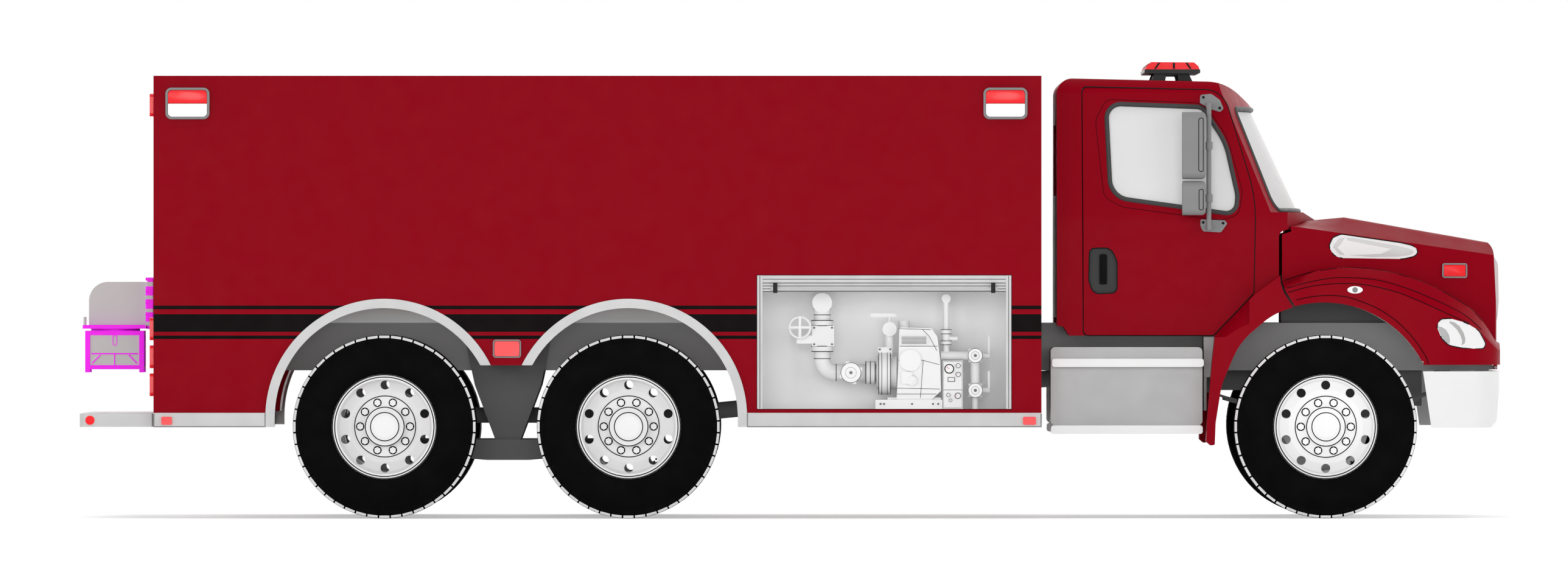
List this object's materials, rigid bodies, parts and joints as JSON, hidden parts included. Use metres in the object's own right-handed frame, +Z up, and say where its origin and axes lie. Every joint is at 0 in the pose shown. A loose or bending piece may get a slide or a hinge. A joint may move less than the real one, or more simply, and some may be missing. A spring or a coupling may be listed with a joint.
{
  "type": "tanker fire engine",
  "caption": "Conventional-cab tanker fire engine on three axles, with a box water-tank body, open pump compartment, rear dump chute and tilting hood.",
  "frame": {"origin": "on the ground, midway along the overall length and on the vehicle's centre plane", "axes": "+X forward, +Y to the vehicle's left, +Z up"},
  "size_m": [8.1567, 2.55, 2.616],
  "materials": {
    "red_paint": "gloss",
    "frame_grey": "satin",
    "bright_trim": "satin",
    "tank_grey": "satin",
    "light_grey": "gloss",
    "white_metal": "satin",
    "white_plastic": "matte",
    "tyre": "matte",
    "glass": "gloss",
    "red_lens": "gloss",
    "interior": "matte",
    "axle_iron": "satin",
    "mirror_grey": "satin"
  },
  "bodies": {
    "chassis": {"chassis_frame": "frame_grey", "front_axle": "axle_iron", "suspension": "axle_iron", "rear_axles": "axle_iron", "powertrain": "axle_iron", "tank": "white_metal", "side_bodies": "red_paint", "bulkheads": "red_paint", "rub_rails": "bright_trim", "arch_trims": "bright_trim", "corner_lamps": "red_lens", "marker_lamps": "red_lens", "tailboard": "bright_trim", "dump_elbow": "bright_trim", "shutters": "light_grey", "pump_engine": "white_metal", "pump_casing": "white_metal", "suction_piping": "white_metal", "discharge_piping": "white_metal", "control_panel": "white_metal", "fuel_tanks": "tank_grey", "cab_steps": "bright_trim", "splash_panels": "frame_grey", "cab_shell": "red_paint", "cab_glass": "glass", "lightbar": "red_lens", "seats": "interior", "dashboard": "interior", "cab_flares": "red_paint", "bumper": "light_grey"},
    "hood": {"hood": "red_paint", "headlamps": "light_grey", "grilles": "light_grey", "arch_liners": "white_plastic"},
    "door_right": {"door_right": "red_paint", "door_glass_right": "glass", "side_mirror_right": "mirror_grey"},
    "door_left": {"door_left": "red_paint", "door_glass_left": "glass", "side_mirror_left": "mirror_grey"},
    "fill_lid": {"fill_lid": "white_metal"},
    "dump_chute": {"dump_chute": "bright_trim"},
    "knuckle_right": {"knuckle_right": "axle_iron"},
    "knuckle_left": {"knuckle_left": "axle_iron"},
    "wheel_front_right": {"tyre_front_right": "tyre", "rim_front_right": "white_metal"},
    "wheel_front_left": {"tyre_front_left": "tyre", "rim_front_left": "white_metal"},
    "wheel_middle_right": {"tyre_middle_right": "tyre", "rim_middle_right": "white_metal"},
    "wheel_middle_left": {"tyre_middle_left": "tyre", "rim_middle_left": "white_metal"},
    "wheel_rear_right": {"tyre_rear_right": "tyre", "rim_rear_right": "white_metal"},
    "wheel_rear_left": {"tyre_rear_left": "tyre", "rim_rear_left": "white_metal"}
  },
  "joints": [
    {"name": "hood_tilt", "type": "hinge", "parent": "chassis", "child": "hood", "pos_m": [4.06, 0, 0.862], "axis": [0, 1, 0], "range_deg": [0, 65]},
    {"name": "door_right_hinge", "type": "hinge", "parent": "chassis", "child": "door_right", "pos_m": [2.672, -1.016, 1.7], "axis": [0, 0, 1], "range_deg": [0, 65]},
    {"name": "door_left_hinge", "type": "hinge", "parent": "chassis", "child": "door_left", "pos_m": [2.672, 1.016, 1.7], "axis": [0, 0, -1], "range_deg": [0, 65]},
    {"name": "fill_lid_hinge", "type": "hinge", "parent": "chassis", "child": "fill_lid", "pos_m": [0.952, 0, 2.5], "axis": [0, -1, 0], "range_deg": [0, 100]},
    {"name": "dump_chute_swivel", "type": "hinge", "parent": "chassis", "child": "dump_chute", "pos_m": [-3.893, 0, 1.077], "axis": [0, 0, 1], "range_deg": [-90, 90]},
    {"name": "steer_right", "type": "hinge", "parent": "chassis", "child": "knuckle_right", "pos_m": [3.066, -0.9, 0.525], "axis": [0, 0, 1], "range_deg": [-38, 38]},
    {"name": "steer_left", "type": "hinge", "parent": "chassis", "child": "knuckle_left", "pos_m": [3.066, 0.9, 0.525], "axis": [0, 0, 1], "range_deg": [-38, 38]},
    {"name": "front_wheel_right_spin", "type": "hinge", "parent": "knuckle_right", "child": "wheel_front_right", "pos_m": [3.066, -1.028, 0.525], "axis": [0, 1, 0], "continuous": true},
    {"name": "front_wheel_left_spin", "type": "hinge", "parent": "knuckle_left", "child": "wheel_front_left", "pos_m": [3.066, 1.028, 0.525], "axis": [0, 1, 0], "continuous": true},
    {"name": "middle_wheel_right_spin", "type": "hinge", "parent": "chassis", "child": "wheel_middle_right", "pos_m": [-0.923, -0.921, 0.525], "axis": [0, 1, 0], "continuous": true},
    {"name": "middle_wheel_left_spin", "type": "hinge", "parent": "chassis", "child": "wheel_middle_left", "pos_m": [-0.923, 0.921, 0.525], "axis": [0, 1, 0], "continuous": true},
    {"name": "rear_wheel_right_spin", "type": "hinge", "parent": "chassis", "child": "wheel_rear_right", "pos_m": [-2.319, -0.921, 0.525], "axis": [0, 1, 0], "continuous": true},
    {"name": "rear_wheel_left_spin", "type": "hinge", "parent": "chassis", "child": "wheel_rear_left", "pos_m": [-2.319, 0.921, 0.525], "axis": [0, 1, 0], "continuous": true}
  ],
  "couplings": [
    {"joint": "steer_left", "follows": "steer_right", "ratio": 1}
  ]
}
